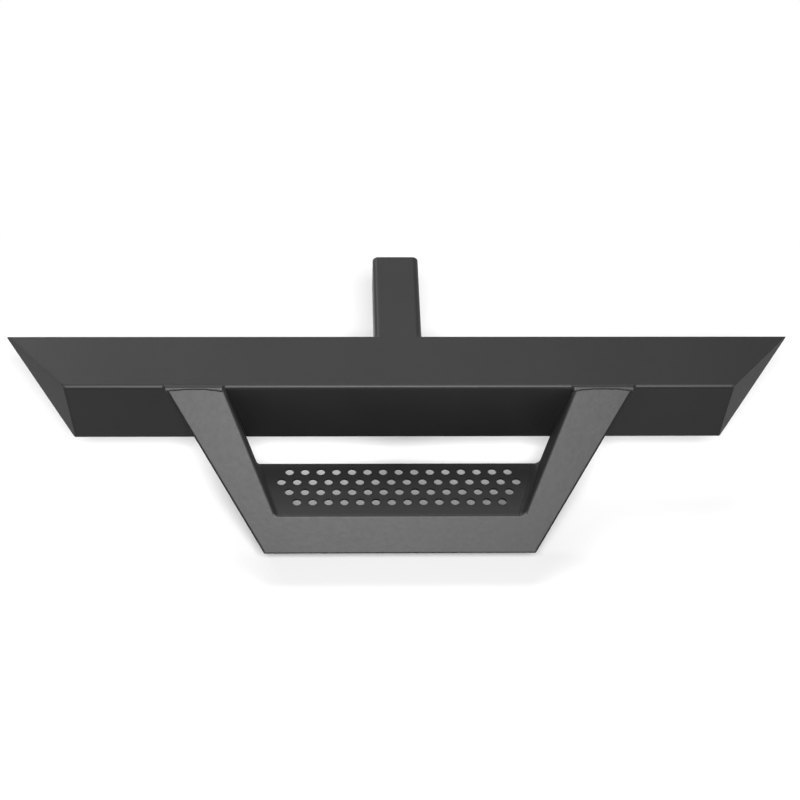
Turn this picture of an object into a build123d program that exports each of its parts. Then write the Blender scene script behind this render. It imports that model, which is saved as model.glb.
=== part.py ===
from build123d import *
from math import cos, floor, radians, sin, tan
import os

# Bumper step for a 2 in hitch receiver. Millimetres.
# The origin is the centre of the hitch pin hole, on the shank's axis.
# +X runs along the bar, +Y points to the vehicle and +Z is up.

# Receiver shank, a square tube level with the bar's top
shank_side = 50.8
shank_wall = 4.76
shank_corner = 6.35
shank_reach = 131.0
pin_to_free_end = 57.0
pin_hole_d = 16.5

# Sheet steel, with folded bends and with welded corners that are ground to a small radius
sheet = 2.5
inside_bend = 2.0
ground_r = 1.4

# Crossbar, of triangular section, with its ends cut back towards the front and the bottom
bar_length = 838.2
bar_depth = 76.2
bar_height = 76.2
end_setback = 67.0
end_lean = 6.0

# Step hoop, on a plane that slopes down and forward from the bar's front edge.
# Half widths go from the middle to the outside of a wall.
hoop_slope = radians(45.0)
hoop_drop = 1.0
hoop_foot = 0.5
hoop_length = 174.2
outer_half_top = 246.5
outer_half_bottom = 142.6
inner_half_top = 184.7
inner_half_bottom = 130.1

# Level tread, from the hoop's face to its back, with a staggered pattern of holes
tread_drop = 96.2
hole_d = 9.2
hole_pitch = 16.7
hole_stagger = radians(60.0)
hole_rear_margin = 11.7
hole_front_margin = 12.0
hole_end_margin = 16.5

# Welds
leg_top_bead_r = 2.4
leg_inner_bead_r = 4.5
leg_outer_bead_r = 2.2
shank_bead_r = 4.0
tread_fillet_r = 3.2

# Levels, lines and planes that follow from the sizes above
outside_bend = inside_bend + sheet
bar_top = shank_side / 2
bar_bottom = bar_top - bar_height
bar_rear = pin_to_free_end - shank_reach
bar_front = bar_rear - bar_depth
hoop_depth = (bar_height - hoop_drop - hoop_foot) * cos(hoop_slope)
tread_top = bar_top - tread_drop
tread_line = (tread_drop - hoop_drop) / sin(hoop_slope)
tread_rear = bar_front - (tread_line * cos(hoop_slope) - hoop_depth / sin(hoop_slope))
tread_front = bar_front - tread_line * cos(hoop_slope)
outward = Vector(0, -sin(hoop_slope), cos(hoop_slope))
downhill = Vector(0, -cos(hoop_slope), -sin(hoop_slope))
hoop_origin = Vector(0, bar_front, bar_top - hoop_drop)
hoop_plane = Plane(origin=hoop_origin, x_dir=(1, 0, 0), z_dir=outward)


def hoop_point(x, down, depth):
    """Point of the hoop: across, down its slope and behind its face."""
    return hoop_origin + Vector(x, 0, 0) + downhill * down - outward * depth


def side_point(down, depth):
    """Point of the hoop in the side view, as (y, z)."""
    point = hoop_point(0, down, depth)
    return (point.Y, point.Z)


def outer_half(down):
    """Half width over the legs' outer walls, at a distance down the slope."""
    return outer_half_top + (outer_half_bottom - outer_half_top) * down / hoop_length


def inner_half(down):
    """Half width between the legs' inner walls, at a distance down the slope."""
    return inner_half_top + (inner_half_bottom - inner_half_top) * down / tread_line


def wall_across(half_width):
    """Thickness of a slanting wall, measured straight across the hoop."""
    return sheet * Vector(half_width(1) - half_width(0), 1).length


def seam_point(half_width, drop):
    """Point where a leg's wall meets the bar's front, at a drop below the bar's top."""
    down = (drop - hoop_drop) * sin(hoop_slope)
    depth = (drop - hoop_drop) * cos(hoop_slope)
    return hoop_point(half_width(down), down, depth)


def tread_half(y):
    """Half width of the tread's top at a distance from the shank's pin hole."""
    return inner_half((Vector(0, y, tread_top) - hoop_origin).dot(downhill))


def side_section(points):
    """Closed outline in the side view, from (y, z) points."""
    return Plane.YZ * make_face(Polyline(*points, close=True))


def folded_section(points):
    """Side view of a sheet folded along an outer line of (y, z) points, with its metal on the left."""
    outer_line = FilletPolyline(*points, radius=outside_bend)
    return Plane.YZ * make_face(offset(outer_line, amount=sheet, side=Side.LEFT))


def on_hoop(outline, level=0):
    """Flat outline in the hoop's plane, or at a level behind its face."""
    return hoop_plane.offset(-level) * make_face(Polyline(*outline, close=True))


def round_edge(solid, middle, radius):
    """Rounds the edge whose middle lies nearest to a point."""
    return fillet(solid.edges().sort_by_distance(middle)[0], radius)


def bead(path, radius):
    """Round bead along straight runs between points, mitred at the corners."""
    section = Plane(path[0], z_dir=path[1] - path[0]) * Circle(radius)
    return sweep(section, path=Polyline(*path), transition=Transition.RIGHT)


def end_plane(side, inset):
    """Plane of the bar's end on one side, facing out, moved in by an inset."""
    rear = Vector(side * bar_length / 2, bar_rear, bar_top)
    front = rear - Vector(side * end_setback, bar_depth, 0)
    bottom = front - Vector(side * end_lean, 0, bar_height)
    facing = (bottom - front).cross(rear - front) * side
    return Plane(origin=front, x_dir=rear - front, z_dir=facing).offset(-inset)


def along_bar(section, inset):
    """A side view run along the bar and cut at both its ends."""
    solid = extrude(section, amount=bar_length / 2, both=True)
    for side in (-1, 1):
        solid = split(solid, bisect_by=end_plane(side, inset), keep=Keep.BOTTOM)
    return solid


def bar_form():
    """Outer form of the whole bar, filled in."""
    section = side_section(
        [
            (bar_rear, bar_top),
            (bar_front, bar_top),
            (bar_front, bar_bottom),
            (bar_front + sheet, bar_bottom),
            (bar_rear, bar_top - sheet),
        ]
    )
    bar = round_edge(along_bar(section, 0), (0, bar_front, bar_top), outside_bend)
    return round_edge(bar, (0, bar_front, bar_bottom), ground_r)


def leg_form():
    """Outer form of the right leg, filled in, from the bar's front to the mitre with the rail."""
    outline = [
        (inner_half_top, 0),
        (outer_half_top, 0),
        (outer_half_bottom, -hoop_length),
        (inner_half_bottom, -tread_line),
    ]
    solid = extrude(on_hoop(outline), amount=-hoop_depth)
    for half_width, length in ((outer_half, hoop_length), (inner_half, tread_line)):
        solid = round_edge(solid, hoop_point(half_width(length / 2), length / 2, 0), ground_r)
    return split(solid, bisect_by=Plane.XZ.offset(-bar_front), keep=Keep.TOP)


def crossbar_skin():
    """Top and front of the bar, one sheet with one bend."""
    section = folded_section([(bar_rear, bar_top), (bar_front, bar_top), (bar_front, bar_bottom)])
    return round_edge(along_bar(section, sheet), (0, bar_front, bar_bottom), ground_r)


def crossbar_back_plate():
    """Slanted plate let in between the skin's two edges."""
    top = Vector(bar_rear, bar_top - sheet)
    bottom = Vector(bar_front + sheet, bar_bottom)
    run = top - bottom
    section = side_section(
        [
            top,
            bottom,
            bottom + Vector(0, sheet * run.length / run.X),
            top - Vector(sheet * run.length / run.Y, 0),
        ]
    )
    return along_bar(section, sheet)


def end_plate(bar):
    """Plate that closes the bar's right end, flush with its outer faces."""
    return split(bar, bisect_by=end_plane(1, sheet), keep=Keep.TOP)


def shank_form(side, corner, bar):
    """Square length on the shank's axis, cut to seat on the back of the bar."""
    profile = Plane.XZ.offset(-pin_to_free_end) * RectangleRounded(side, side, corner)
    return extrude(profile, amount=shank_reach + bar_depth - outside_bend) - bar


def receiver_shank(bar):
    """Square tube, mitred on the back plate, with the hitch pin hole across it."""
    bore = shank_form(shank_side - 2 * shank_wall, shank_corner - shank_wall, bar)
    pin_hole = Plane.YZ * Cylinder(pin_hole_d / 2, 2 * shank_side)
    return shank_form(shank_side, shank_corner, bar) - bore - pin_hole


def leg(form):
    """Right leg: a tapered channel of three strips, open behind."""
    outline = [
        (inner_half(0) + wall_across(inner_half), 0),
        (outer_half(0) - wall_across(outer_half), 0),
        (outer_half(hoop_length) - wall_across(outer_half), -hoop_length),
        (inner_half(hoop_length) + wall_across(inner_half), -hoop_length),
    ]
    return form - extrude(on_hoop(outline, sheet), amount=-hoop_depth)


def tread_holes():
    """Staggered round holes that fill the tread up to its margins."""
    row_pitch = hole_pitch * sin(hole_stagger)
    first_row = tread_rear - hole_rear_margin
    row_count = 1 + floor((first_row - tread_front - hole_front_margin) / row_pitch)
    centres = []
    for row in range(row_count):
        y = first_row - row * row_pitch
        odd = row % 2
        last = floor((tread_half(y) - hole_end_margin) / hole_pitch - odd / 2)
        for place in range(-last - odd, last + 1):
            centres.append((hole_pitch * (place + odd / 2), y, tread_top))
    return [Pos(*centre) * Cylinder(hole_d / 2, 4 * sheet) for centre in centres]


def step_pan():
    """Tread and front rail, one folded sheet, with a strip under the rail, trimmed to the legs."""
    fold = folded_section(
        [(tread_rear, tread_top), (tread_front, tread_top), side_point(hoop_length, 0)]
    )
    strip = side_section(
        [
            side_point(hoop_length, 0),
            side_point(hoop_length, hoop_depth),
            side_point(hoop_length - sheet, hoop_depth),
            side_point(hoop_length - sheet, 0),
        ]
    )
    run = extrude(fold + strip, amount=outer_half_top, both=True)
    run = round_edge(run, hoop_point(0, hoop_length, 0), ground_r)
    right = [
        (inner_half_top, 0),
        (inner_half_bottom, -tread_line),
        (outer_half_bottom, -hoop_length),
    ]
    left = [(-x, y) for x, y in reversed(right)]
    trim = extrude(on_hoop([*right, *left]), amount=-2 * hoop_depth)
    return (run & trim) - tread_holes()


def leg_weld(bar, leg_solid):
    """Bead over the right leg's top and down both its sides, on the bar's front."""
    top = leg_top_bead_r
    weld = bead([seam_point(inner_half, top), seam_point(outer_half, top)], leg_top_bead_r)
    for half_width, radius in ((inner_half, leg_inner_bead_r), (outer_half, leg_outer_bead_r)):
        bottom = bar_height - hoop_foot - radius
        weld += bead([seam_point(half_width, top), seam_point(half_width, bottom)], radius)
    return weld - bar - leg_solid


def tread_weld(leg_solid, pan):
    """Hollow fillet between the tread's right end and the leg, ground flush with the hoop's face."""
    front = hoop_point(inner_half_bottom, tread_line, 0)
    rear = Vector(tread_half(tread_rear), tread_rear, tread_top)
    along = (front - rear).normalized()
    inwards = Vector(0, 0, 1).cross(along)
    wall = hoop_point(inner_half_top, 0, 0) - front
    wall_up = wall - along * wall.dot(along)
    corner = radians(inwards.get_angle(wall_up))
    reach = tread_fillet_r / tan(corner / 2)
    on_tread = Vector(reach, 0)
    on_wall = Vector(reach * cos(corner), reach * sin(corner))
    behind_wall = Vector(sheet, 0)
    under_tread = Vector(0, sheet / 2)
    outline = [
        RadiusArc(on_tread, on_wall, tread_fillet_r),
        Polyline(
            on_wall,
            on_wall - behind_wall,
            -behind_wall - under_tread,
            on_tread - under_tread,
            on_tread,
        ),
    ]
    start = Plane(origin=rear, x_dir=inwards, z_dir=along)
    length = (front - rear).length + 2 * tread_fillet_r
    fill = extrude(start.offset(-tread_fillet_r) * make_face(outline), amount=length)
    fill = split(fill, bisect_by=hoop_plane, keep=Keep.BOTTOM)
    fill = split(fill, bisect_by=hoop_plane.offset(-hoop_depth), keep=Keep.TOP)
    fill = split(fill, bisect_by=Plane.XZ.offset(-tread_rear), keep=Keep.TOP)
    return fill - leg_solid - pan


def shank_weld(bar, shank):
    """Bead down both sides of the shank and under it, on the bar's back plate."""
    half = shank_side / 2
    top = half - shank_bead_r
    slant = (bar_depth - sheet) / (bar_height - sheet)
    path = []
    for x, z in ((half, top), (half, -half), (-half, -half), (-half, top)):
        path.append(Vector(x, bar_rear - slant * (bar_top - sheet - z), z))
    return bead(path, shank_bead_r) - bar - shank


def main():
    bar = bar_form()
    leg_solid = leg_form()
    pan = step_pan()
    pieces = {
        "crossbar_skin": crossbar_skin(),
        "crossbar_back_plate": crossbar_back_plate(),
        "receiver_shank": receiver_shank(bar),
        "shank_weld": shank_weld(bar, shank_form(shank_side, shank_corner, bar)),
        "step_pan": pan,
    }
    right_pieces = {
        "end_plate": end_plate(bar),
        "leg": leg(leg_solid),
        "leg_weld": leg_weld(bar, leg_solid),
        "tread_weld": tread_weld(leg_solid, pan),
    }
    for name, solid in right_pieces.items():
        pieces[name + "_right"] = solid
        pieces[name + "_left"] = mirror(solid, about=Plane.YZ)
    os.makedirs("parts", exist_ok=True)
    for name, solid in pieces.items():
        export_step(solid, f"parts/{name}.step")


main()
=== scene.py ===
import math

import bmesh
import bpy
from mathutils import Matrix, Vector, noise


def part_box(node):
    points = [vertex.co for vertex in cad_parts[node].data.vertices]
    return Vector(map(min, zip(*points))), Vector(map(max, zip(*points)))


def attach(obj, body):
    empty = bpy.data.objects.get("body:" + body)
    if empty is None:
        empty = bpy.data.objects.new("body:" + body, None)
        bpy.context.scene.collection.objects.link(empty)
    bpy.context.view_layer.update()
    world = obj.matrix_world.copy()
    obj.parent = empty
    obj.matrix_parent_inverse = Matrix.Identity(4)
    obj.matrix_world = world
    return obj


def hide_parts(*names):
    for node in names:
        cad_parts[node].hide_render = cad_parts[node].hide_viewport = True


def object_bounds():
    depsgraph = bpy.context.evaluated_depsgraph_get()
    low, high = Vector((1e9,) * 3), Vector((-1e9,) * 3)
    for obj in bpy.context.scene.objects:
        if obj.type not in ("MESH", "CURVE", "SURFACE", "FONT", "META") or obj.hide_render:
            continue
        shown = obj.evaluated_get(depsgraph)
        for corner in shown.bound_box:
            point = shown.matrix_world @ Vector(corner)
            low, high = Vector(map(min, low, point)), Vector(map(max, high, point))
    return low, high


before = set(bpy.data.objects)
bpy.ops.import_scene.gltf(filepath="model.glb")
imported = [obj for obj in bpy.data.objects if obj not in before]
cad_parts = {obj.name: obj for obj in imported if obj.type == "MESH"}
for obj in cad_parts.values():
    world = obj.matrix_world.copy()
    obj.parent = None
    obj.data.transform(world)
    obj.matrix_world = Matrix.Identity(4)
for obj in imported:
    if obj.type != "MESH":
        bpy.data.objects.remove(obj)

cad_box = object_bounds()

# The bumper step's own places, read from its nodes, in metres
bar_low, bar_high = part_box("crossbar_skin")
bar_front = bar_low.y
bar_rear = bar_high.y
bar_top = bar_high.z
bar_height = bar_high.z - bar_low.z
shank_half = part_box("receiver_shank")[1].x
floor_level = cad_box[0][2]

# Sizes of the part's source that its boxes don't give. The hoop's inner and outer line have a half width
# at the top, a half width at the low end and the length between, down the slope.
hoop_slope = math.radians(45.0)
hoop_drop = 0.001
hoop_depth = 0.05282
tread_line = 0.13463
inner_line = (0.1847, 0.1301, tread_line)
outer_line = (0.2465, 0.1426, 0.1742)
sheet = 0.0025
ground_r = 0.0014
bend_r = 0.0045
shank_corner = 0.00635

# The hoop's own frame, on the bar's front, and the middle of the bend along the bar's top front edge
across = Vector((1.0, 0.0, 0.0))
downhill = Vector((0.0, -math.cos(hoop_slope), -math.sin(hoop_slope)))
hoop_facing = Vector((0.0, -math.sin(hoop_slope), math.cos(hoop_slope)))
hoop_origin = Vector((0.0, bar_front, bar_top - hoop_drop))
bend_middle = Vector((0.0, bar_front + bend_r, bar_top - bend_r))

# Camera, a little left of the bar's middle. The lens shift frames the part.
image_px = 800
focal_px = 1908.3
shift_px = 24.3
camera_place = (-0.0724, -1.5730, 1.4292)
camera_pitch = math.radians(45.003)
camera_yaw = math.radians(1.896)
camera_roll = math.radians(1.263)

# Lamps: place, width, height and watts. They face one point of the part.
softboxes = {
    "key": ((-0.01, -2.02, 2.0), 1.0, 0.5, 113.0),
    "top": ((-0.1, 0.8, 2.4), 1.6, 1.0, 27.0),
    "back": ((-0.42, 1.8, 1.9), 2.0, 1.0, 13.5),
    "rim": ((-1.3, 1.7, 1.25), 0.5, 0.8, 16.0),
}
lit_point = Vector((0.0, bar_front, 0.0))

# Floor and surroundings
floor_gap = 0.001
floor_size = 12.0
floor_white = 0.77
floor_bounce = 0.55
paper_reach = (0.58, 0.36)
paper_fade = (0.85, 1.5)
ambient = 0.03

# Powder coat
coat_dark = (0.0088, 0.0088, 0.0089, 1.0)
coat_light = (0.0116, 0.0116, 0.0117, 1.0)
cloud_range = (0.3, 0.7)
coat_roughness = 0.42
roughness_spread = 0.06
end_rougher = 0.14
coat_specular = 0.165
end_specular = 0.175
hoop_specular = 0.22
grain_noise = {"Scale": 1100.0, "Detail": 3.0, "Roughness": 0.6}
peel_noise = {"Scale": 210.0, "Detail": 2.0, "Roughness": 0.5}
cloud_noise = {"Scale": 9.0, "Detail": 4.0, "Roughness": 0.55}
grain_share = 0.6
bump_depth = 0.00006

# Painted highlight, a lighter stripe of colour along the bar's bend where the lamp's reflection shows: its
# angle above level, and the angles to it where it starts and is full
painted_highlight_tone = (0.042, 0.042, 0.0425, 1.0)
painted_highlight_angle = math.radians(52.6)
painted_highlight_spread = (math.radians(20.0), math.radians(4.0))

# Dry coat: where it starts and is full, behind the hoop's face, out towards the legs' edges (0 is the edge)
# and up from the edges' low ends
dry_roughness = 0.58
dry_depth = (0.0002, 0.0012)
outer_dry = (-0.0024, -0.0010)
inner_dry = (-0.0034, -0.0002)
dry_end = (0.0005, 0.0045)

# Colour sockets of a Mix node, which share their names with its other sockets
mix_factor, mix_first, mix_second = 0, 6, 7
mix_result = 2

# Weld beads: ripples along the run, a hand's unevenness, and the section between two faces
ripple_pitch = 0.0026
ripple_crescent = 0.8
ripple_power = 0.7
ripple_middle = 0.6
rings_per_ripple = 6
wobble_length = 0.009
bead_ripple = 0.10
bead_wobble = 0.1
bead_sides = 14
bead_start = math.radians(-8.0)
bead_sweep = math.radians(106.0)
bead_bulge = 0.85
bead_root = 0.0009

# Bead down a leg's side: its reach, its start below the bar's top, and how it swells and runs out
inner_bead = 0.0052
outer_bead = 0.0022
side_start = 0.0018
side_low_gap = 0.0005
side_low_share = 0.6
side_tail = 0.004
side_tail_rest = 0.0008
side_leg_thin = 0.0003
side_leg_rise = 0.9
side_bar_thin = 0.4
side_bar_grow = 0.010

# Bead round the shank
shank_bead = 0.0042
shank_bead_gap = 0.001
shank_corner_steps = 8
shank_tail = 0.005
shank_tail_rest = 0.2

# Fillets at the tread's ends
tread_fillet = {"right": 0.0085, "left": 0.0045}
fillet_wobble = 0.12
fillet_root = 0.0008
fillet_edge_depths = [0.00003, 0.0001, 0.00025, 0.0005, 0.0008, 0.0011, ground_r]
fillet_steps = 24

# Cap bead over a leg's top edge: inner and outer length past it, run-out, and the arch of its low edge.
# Its section has places up the slope and heights on the hoop's face, over the crown and back in the bar.
cap_over = {"right": (0.0052, 0.0026), "left": (0.0020, 0.0030)}
cap_run_out = 0.0042
cap_narrow = 0.0030
cap_taper = 0.6
cap_arch = 0.0030
cap_lift = 0.0011
cap_lower = 0.0030
cap_edge_wobble = 0.0006
cap_edge_ripple = 0.0003
cap_crown_low = -0.0003
cap_crown_ripple = 0.00007
cap_crown_wobble = 0.0001
cap_crest = 0.0014
cap_sunk = 0.0001
cap_section = (
    (-0.0040, -0.00035), (-0.00365, -0.00002), (-0.00335, 0.00030), (-0.00305, 0.00058),
    (-0.0026, 0.00076), (-0.0020, 0.00084), (-0.0013, 0.00087), (-0.0006, 0.00084),
    (0.0, 0.00076), (0.0005, 0.00058), (0.0009, 0.00038), (0.00125, 0.00012),
    (0.00168, -0.00030), (0.00238, -0.00101), (0.00314, -0.00195), (0.00212, -0.00240),
    (-0.00028, -0.00198), (-0.0030, -0.00075),
)

# Seeds of the unevenness
side_seed = 3.0
crown_seed = 7.0
inner_seed = 20.0
outer_seed = 40.0
fillet_seed = 60.0
shank_seed = 80.0


class Nodes:
    """Short calls to add and link the nodes of one material or world."""

    def __init__(self, owner):
        owner.use_nodes = True
        self.tree = owner.node_tree
        self.tree.nodes.clear()

    def add(self, kind, **values):
        node = self.tree.nodes.new(kind)
        for name, value in values.items():
            if name in node.inputs:
                node.inputs[name].default_value = value
            else:
                setattr(node, name, value)
        return node

    def link(self, source, target):
        self.tree.links.new(source, target)

    def math(self, operation, *values):
        """Result of a Math node. Each value is a number or a socket."""
        node = self.add("ShaderNodeMath", operation=operation)
        for socket, value in zip(node.inputs, values):
            if isinstance(value, (int, float)):
                socket.default_value = value
            else:
                self.link(value, socket)
        return node.outputs[0]

    def band(self, place, axis, origin, reach, top=1.0):
        """Rises smoothly from 0 to a top value over a reach along an axis, counted from an origin."""
        along = self.add("ShaderNodeVectorMath", operation="DOT_PRODUCT")
        along.inputs[1].default_value = axis
        self.link(place, along.inputs[0])
        ramp = self.add("ShaderNodeMapRange", interpolation_type="SMOOTHSTEP")
        ramp.inputs["From Min"].default_value = axis.dot(origin) + reach[0]
        ramp.inputs["From Max"].default_value = axis.dot(origin) + reach[1]
        ramp.inputs["To Max"].default_value = top
        self.link(along.outputs["Value"], ramp.inputs["Value"])
        return ramp.outputs["Result"]

    def seen(self):
        """1 for rays that show the surface itself: camera, glossy and transmission rays."""
        path = self.add("ShaderNodeLightPath").outputs
        shown = self.math("MAXIMUM", path["Is Camera Ray"], path["Is Glossy Ray"])
        return self.math("MAXIMUM", shown, path["Is Transmission Ray"])


def painted_highlight_colour(nodes, place, tone):
    """Colour of a coat with a painted highlight, lighter along the bar's bend."""
    axis = Vector((0.0, -math.cos(painted_highlight_angle), math.sin(painted_highlight_angle)))
    reach = [bend_r * math.cos(angle) for angle in painted_highlight_spread]
    highlight_mix = nodes.add("ShaderNodeMix", data_type="RGBA")
    highlight_mix.inputs[mix_second].default_value = painted_highlight_tone
    nodes.link(nodes.band(place, axis, bend_middle, reach), highlight_mix.inputs[mix_factor])
    nodes.link(tone, highlight_mix.inputs[mix_first])
    return highlight_mix.outputs[mix_result]


def dry_gain(nodes, place):
    """Roughness gained along the legs' edges and behind the hoop's face, where less powder stays."""
    parts = nodes.add("ShaderNodeSeparateXYZ")
    nodes.link(place, parts.inputs[0])
    folded = nodes.add("ShaderNodeCombineXYZ")
    nodes.link(nodes.math("ABSOLUTE", parts.outputs["X"]), folded.inputs["X"])
    nodes.link(parts.outputs["Y"], folded.inputs["Y"])
    nodes.link(parts.outputs["Z"], folded.inputs["Z"])
    dryness = nodes.band(folded.outputs[0], -hoop_facing, hoop_origin, dry_depth, dry_roughness)
    for line, way, reach in ((outer_line, 1.0, outer_dry), (inner_line, -1.0, inner_dry)):
        top, low, length = line
        out = way * (across - downhill * (low - top) / length).normalized()
        edge = nodes.band(folded.outputs[0], out, hoop_origin + across * top, reach, dry_roughness)
        above = nodes.band(place, -downhill, hoop_origin + downhill * length, dry_end, dry_roughness)
        dryness = nodes.math("MAXIMUM", dryness, nodes.math("MINIMUM", edge, above))
    return dryness


def powder_coat(name, specular=coat_specular, rougher=0.0, dry=False, painted_highlight=False):
    """Satin black powder coat: a fine grain over a soft orange peel, with faint clouds of tone, and where
    asked a painted highlight along the bar's bend.
    """
    material = bpy.data.materials.new(name)
    nodes = Nodes(material)
    place = nodes.add("ShaderNodeTexCoord").outputs["Object"]
    grain, peel, cloud = [
        nodes.add("ShaderNodeTexNoise", **values) for values in (grain_noise, peel_noise, cloud_noise)
    ]
    for texture in (grain, peel, cloud):
        nodes.link(place, texture.inputs["Vector"])
    tint = nodes.add("ShaderNodeValToRGB")
    for stop, position, colour in zip(tint.color_ramp.elements, cloud_range, (coat_dark, coat_light)):
        stop.position = position
        stop.color = colour
    nodes.link(cloud.outputs["Fac"], tint.inputs["Fac"])
    tone = tint.outputs["Color"]
    # Painted highlight: a lighter stripe of colour along the bar's bend
    if painted_highlight:
        tone = painted_highlight_colour(nodes, place, tone)
    least = coat_roughness + rougher - roughness_spread / 2
    sheen = nodes.math("MULTIPLY_ADD", peel.outputs["Fac"], roughness_spread, least)
    if dry:
        sheen = nodes.math("ADD", sheen, dry_gain(nodes, place))
    height = nodes.math("MULTIPLY_ADD", grain.outputs["Fac"], grain_share, peel.outputs["Fac"])
    bump = nodes.add("ShaderNodeBump", Strength=1.0, Distance=bump_depth)
    nodes.link(height, bump.inputs["Height"])
    shader = nodes.add("ShaderNodeBsdfPrincipled", **{"Specular IOR Level": specular})
    nodes.link(tone, shader.inputs["Base Color"])
    nodes.link(sheen, shader.inputs["Roughness"])
    nodes.link(bump.outputs["Normal"], shader.inputs["Normal"])
    output = nodes.add("ShaderNodeOutputMaterial")
    nodes.link(shader.outputs["BSDF"], output.inputs["Surface"])
    return material


def dress(material, *names):
    """Gives CAD nodes a material."""
    for name in names:
        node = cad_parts[name]
        if not node.material_slots:
            node.data.materials.append(None)
        for slot in node.material_slots:
            slot.link = "OBJECT"
            slot.material = material


def hoop_point(x, down, depth):
    """Point of the hoop: across, down its slope and behind its face."""
    return hoop_origin + across * x + downhill * down - hoop_facing * depth


def half_width(line, down):
    """Half width of the hoop on one of its slanting lines, at a distance down the slope."""
    top, low, length = line
    return top + (low - top) * down / length


def smooth(value):
    """Eased step from 0 to 1."""
    value = min(max(value, 0.0), 1.0)
    return value * value * (3.0 - 2.0 * value)


def ripple(run, aside):
    """Height of a bead's ripples, about -0.6 to 0.4, in crescents along its run."""
    phase = run / ripple_pitch + ripple_crescent * aside * aside
    return abs(math.sin(math.pi * phase)) ** ripple_power - ripple_middle


def wobble(run, seed):
    """Slow hand-made unevenness along a bead, about -1 to 1."""
    return noise.noise(Vector((run / wobble_length, seed, 0.0)))


def on_bend(point):
    """Nearest point of the bend along the bar's top front edge, just under its surface."""
    centre = bend_middle + across * point.x
    return centre + (point - centre).normalized() * (bend_r - cap_sunk)


def cap_rings(over, seed):
    """Bead over the right leg's top edge, past it by an inner and an outer length. Its low edge is arched,
    and its ends run out on the bar's bend."""
    start = half_width(inner_line, 0.0) - over[0]
    length = half_width(outer_line, 0.0) + over[1] - start
    count = round(length / ripple_pitch * rings_per_ripple)
    rings = []
    for k in range(count + 1):
        run = length * k / count
        inset = min(run, length - run)
        fill = smooth(inset / cap_run_out)
        narrow = 1.0 - cap_taper * max(1.0 - inset / cap_narrow, 0.0)
        arch = cap_arch * (2.0 * k / count - 1.0) ** 2 - cap_lift
        ring = []
        for up, high in cap_section:
            low = smooth(-up / cap_lower)
            wave = ripple(run, up / cap_lower)
            up -= low * (arch + cap_edge_wobble * wobble(run, seed) + cap_edge_ripple * wave)
            up *= narrow if up < 0.0 else 1.0
            if high > cap_crown_low:
                high += cap_crown_ripple * wave + cap_crown_wobble * wobble(run, seed + crown_seed)
                high = min(high, cap_crest - up)
            point = hoop_point(start + run, -up, -high)
            ring.append(on_bend(point).lerp(point, fill))
        rings.append(ring)
    return rings


def corner_rings(points, firsts, seconds, reaches, seed):
    """Bead in the corner of two faces. Each point has a direction and a reach along either face."""
    rings = []
    run = 0.0
    for k, point in enumerate(points):
        run += (point - points[max(k - 1, 0)]).length
        uneven = bead_wobble * wobble(run, seed)
        ring = []
        for i in range(bead_sides):
            share = i / (bead_sides - 1)
            angle = bead_start + bead_sweep * share
            along = bead_bulge * math.cos(angle) + (1.0 - bead_bulge) * (1.0 - share)
            away = bead_bulge * math.sin(angle) + (1.0 - bead_bulge) * share
            swell = 1.0 + bead_ripple * ripple(run, 2.0 * share - 1.0) + uneven
            reach = (firsts[k] * along * reaches[k][0] + seconds[k] * away * reaches[k][1]) * swell
            ring.append(point + reach)
        ring.append(point - (firsts[k] + seconds[k]) * bead_root)
        rings.append(ring)
    return rings


def tangents(points):
    """Directions along a line of points."""
    last = len(points) - 1
    ends = [(points[max(k - 1, 0)], points[min(k + 1, last)]) for k in range(last + 1)]
    return [(after - before).normalized() for before, after in ends]


def side_rings(line, outward, radius, seed):
    """Bead down one side of the right leg, on the bar's front. It starts thin and runs out below."""
    end = bar_height - side_low_gap - side_low_share * radius
    count = round((end - side_start) / ripple_pitch * rings_per_ripple)
    drops = [side_start + (end - side_start) * k / count for k in range(count + 1)]
    downs = [(drop - hoop_drop) * math.sin(hoop_slope) for drop in drops]
    points = [hoop_point(half_width(line, down), down, down) for down in downs]
    firsts, seconds, reaches = [], [], []
    for drop, down, along in zip(drops, downs, tangents(points)):
        firsts.append((hoop_facing - along * along.dot(hoop_facing)).normalized())
        seconds.append(along.cross(Vector((0.0, outward, 0.0))))
        tail = smooth((end - drop + side_tail_rest) / side_tail)
        on_leg = min(radius, side_leg_thin + side_leg_rise * down)
        on_bar = radius * (side_bar_thin + (1.0 - side_bar_thin) * smooth(drop / side_bar_grow))
        reaches.append((on_leg * tail, on_bar * tail))
    return corner_rings(points, firsts, seconds, reaches, seed)


def shank_rings(seed):
    """Bead down both sides of the shank and under it, on the bar's back plate."""
    straight = shank_half - shank_corner
    outline = [(shank_half, shank_half - shank_bead_gap), (shank_half, -straight)]
    for k in range(1, shank_corner_steps + 1):
        turn = math.pi / 2.0 * k / shank_corner_steps
        corner = Vector((math.cos(turn), -math.sin(turn))) * shank_corner
        outline.append((straight + corner.x, corner.y - straight))
    outline += [(-x, z) for x, z in reversed(outline)]
    points = []
    for (x, z), (next_x, next_z) in zip(outline, outline[1:]):
        step = Vector((next_x - x, 0.0, next_z - z))
        count = max(round(step.length / ripple_pitch * rings_per_ripple), 1)
        points += [Vector((x, 0.0, z)) + step * k / count for k in range(count)]
    for point in points:
        point.y = bar_rear - (bar_top - sheet - point.z)
    plate_facing = Vector((0.0, 1.0, -1.0)).normalized()
    firsts, seconds, reaches = [], [], []
    for point, along in zip(points, tangents(points)):
        firsts.append((Vector((0.0, 1.0, 0.0)) - along * along.y).normalized())
        seconds.append(along.cross(plate_facing))
        to_end = min((points[0] - point).length, (points[-1] - point).length)
        reach = shank_bead * smooth(to_end / shank_tail + shank_tail_rest)
        reaches.append((reach, reach))
    return corner_rings(points, firsts, seconds, reaches, seed)


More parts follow.
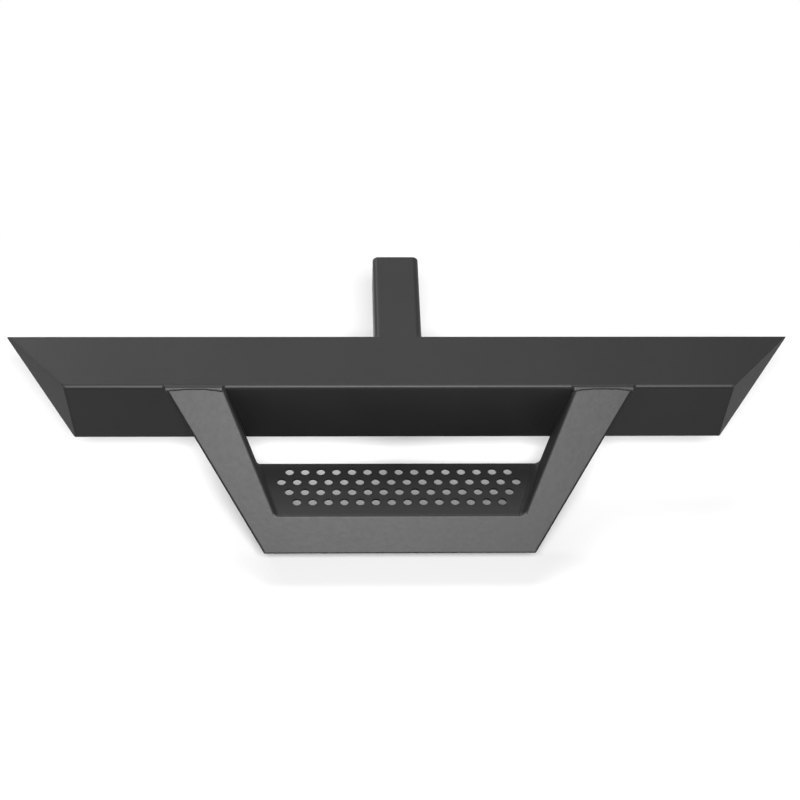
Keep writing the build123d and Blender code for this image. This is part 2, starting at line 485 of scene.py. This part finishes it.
def fillet_rings(size, seed):
    """Fillet of one size along the right end of the tread, in the corner with the leg's inner wall."""
    top, low, length = inner_line
    wall = Vector((top - low, -length)).normalized()
    tread = Vector((-1.0, 0.0))
    half_angle = wall.angle(tread) / 2.0
    middle_way = (wall + tread).normalized()
    rest = hoop_depth - ground_r
    depths = fillet_edge_depths + [ground_r + rest * k / fillet_steps for k in range(1, fillet_steps + 1)]
    rings = []
    for depth in depths:
        down = tread_line - depth
        if depth < bend_r * (1.0 - math.cos(hoop_slope)):
            down = tread_line + bend_r * (math.sqrt(2.0) - 1.0)
            down -= math.sqrt(bend_r ** 2 - (bend_r - depth) ** 2)
        edge = ground_r - math.sqrt(ground_r ** 2 - max(ground_r - depth, 0.0) ** 2)
        corner = Vector((half_width(inner_line, down) + edge, down))
        radius = size * (1.0 + fillet_wobble * wobble(depth, seed))
        centre = corner + middle_way * radius / math.sin(half_angle)
        ring = []
        for i in range(bead_sides):
            turn = (i / (bead_sides - 1) - 0.5) * (math.pi - 2.0 * half_angle)
            x, down_slope = centre - Matrix.Rotation(turn, 2) @ middle_way * radius
            ring.append(hoop_point(x, down_slope, depth))
        x, down_slope = corner - middle_way * fillet_root
        ring.append(hoop_point(x, down_slope, depth))
        rings.append(ring)
    return rings


def add_bead(name, node, material, shells, side=1):
    """One piece of closed shells, each a row of rings, in place of a CAD weld. Side -1 mirrors it."""
    mesh = bpy.data.meshes.new(name)
    form = bmesh.new()
    for rings in shells:
        rows = [[form.verts.new((side * p.x, p.y, p.z)) for p in ring] for ring in rings]
        for row, next_row in zip(rows, rows[1:]):
            for i in range(len(row)):
                j = (i + 1) % len(row)
                form.faces.new((row[i], row[j], next_row[j], next_row[i])).smooth = True
        form.faces.new(rows[0])
        form.faces.new(rows[-1])
    bmesh.ops.recalc_face_normals(form, faces=form.faces)
    form.to_mesh(mesh)
    form.free()
    mesh.materials.append(material)
    piece = bpy.data.objects.new(name, mesh)
    bpy.context.scene.collection.objects.link(piece)
    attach(piece, "root")
    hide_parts(node)


def floor_paper(level):
    """Pale paper that fades to the white of the surroundings further out. It can't be seen from below."""
    material = bpy.data.materials.new("floor_paper")
    nodes = Nodes(material)
    place = nodes.add("ShaderNodeMapping", vector_type="TEXTURE")
    place.inputs["Location"].default_value = (0.0, lit_point.y, level)
    place.inputs["Scale"].default_value = (*paper_reach, 1.0)
    nodes.link(nodes.add("ShaderNodeTexCoord").outputs["Object"], place.inputs["Vector"])
    away = nodes.add("ShaderNodeVectorMath", operation="LENGTH")
    nodes.link(place.outputs["Vector"], away.inputs[0])
    fade = nodes.add("ShaderNodeMapRange", interpolation_type="SMOOTHSTEP")
    fade.inputs["From Min"].default_value, fade.inputs["From Max"].default_value = paper_fade
    nodes.link(away.outputs["Value"], fade.inputs["Value"])
    shade = nodes.math("MULTIPLY_ADD", nodes.seen(), floor_white - floor_bounce, floor_bounce)
    paper = nodes.add("ShaderNodeBsdfDiffuse")
    nodes.link(shade, paper.inputs["Color"])
    white = nodes.add("ShaderNodeEmission", Color=(1.0, 1.0, 1.0, 1.0))
    blend = nodes.add("ShaderNodeMixShader")
    nodes.link(nodes.math("MULTIPLY", nodes.seen(), fade.outputs["Result"]), blend.inputs["Fac"])
    nodes.link(paper.outputs["BSDF"], blend.inputs[1])
    nodes.link(white.outputs["Emission"], blend.inputs[2])
    one_sided = nodes.add("ShaderNodeMixShader")
    nodes.link(nodes.add("ShaderNodeNewGeometry").outputs["Backfacing"], one_sided.inputs["Fac"])
    nodes.link(blend.outputs["Shader"], one_sided.inputs[1])
    nodes.link(nodes.add("ShaderNodeBsdfTransparent").outputs["BSDF"], one_sided.inputs[2])
    output = nodes.add("ShaderNodeOutputMaterial")
    nodes.link(one_sided.outputs["Shader"], output.inputs["Surface"])
    return material


def add_floor():
    """Floor that keeps the part's shadow."""
    half = floor_size / 2
    level = floor_level - floor_gap
    corners = [(x * half, y * half, level) for x, y in ((-1, -1), (1, -1), (1, 1), (-1, 1))]
    mesh = bpy.data.meshes.new("floor")
    mesh.from_pydata(corners, [], [(0, 1, 2, 3)])
    floor = bpy.data.objects.new("floor", mesh)
    bpy.context.scene.collection.objects.link(floor)
    mesh.materials.append(floor_paper(level))


def add_world():
    """White surroundings that light the part softly."""
    world = bpy.data.worlds.new("studio")
    bpy.context.scene.world = world
    nodes = Nodes(world)
    strength = nodes.math("MULTIPLY_ADD", nodes.seen(), 1.0 - ambient, ambient)
    background = nodes.add("ShaderNodeBackground", Color=(1.0, 1.0, 1.0, 1.0))
    nodes.link(strength, background.inputs["Strength"])
    output = nodes.add("ShaderNodeOutputWorld")
    nodes.link(background.outputs["Background"], output.inputs["Surface"])


def add_softbox(name, place, width, height, power):
    """Soft rectangular lamp, turned to the part."""
    lamp = bpy.data.lights.new(name, "AREA")
    lamp.shape = "RECTANGLE"
    lamp.size = width
    lamp.size_y = height
    lamp.energy = power
    holder = bpy.data.objects.new(name, lamp)
    holder.location = place
    holder.rotation_euler = (lit_point - Vector(place)).to_track_quat("-Z", "Y").to_euler()
    bpy.context.scene.collection.objects.link(holder)


def add_camera():
    """Camera at the photograph's viewing angle."""
    camera = bpy.data.objects.new("camera", bpy.data.cameras.new("camera"))
    camera.location = camera_place
    turn = Matrix.Rotation(-camera_yaw, 3, "Z") @ Matrix.Rotation(math.pi / 2 - camera_pitch, 3, "X")
    camera.rotation_euler = (turn @ Matrix.Rotation(camera_roll, 3, "Z")).to_euler()
    camera.data.lens = camera.data.sensor_width * focal_px / image_px
    camera.data.shift_x = shift_px / image_px
    bpy.context.scene.collection.objects.link(camera)
    bpy.context.scene.camera = camera


# The bar's coat has a painted highlight along its bend
dress(powder_coat("coat_bar", painted_highlight=True), "crossbar_skin", "crossbar_back_plate")
dress(powder_coat("coat_ends", end_specular, end_rougher), "end_plate_left", "end_plate_right")
dress(powder_coat("coat_legs", hoop_specular, dry=True), "leg_left", "leg_right")
dress(powder_coat("coat_tube"), "receiver_shank")
coat_step = powder_coat("coat_step", hoop_specular)
dress(coat_step, "step_pan")
coat_weld = powder_coat("coat_weld", hoop_specular)
for side, word in ((1, "right"), (-1, "left")):
    seed = side_seed * side
    cap = cap_rings(cap_over[word], seed)
    inner = side_rings(inner_line, 1.0, inner_bead, seed + inner_seed)
    outer = side_rings(outer_line, -1.0, outer_bead, seed + outer_seed)
    add_bead(f"leg_bead_{word}", f"leg_weld_{word}", coat_weld, [cap, inner, outer], side)
    fillet = fillet_rings(tread_fillet[word], seed + fillet_seed)
    add_bead(f"tread_fillet_{word}", f"tread_weld_{word}", coat_step, [fillet], side)
add_bead("shank_bead", "shank_weld", coat_weld, [shank_rings(shank_seed)])

add_floor()
add_world()
for name, values in softboxes.items():
    add_softbox(name, *values)
add_camera()
bpy.context.scene.view_settings.view_transform = "Standard"
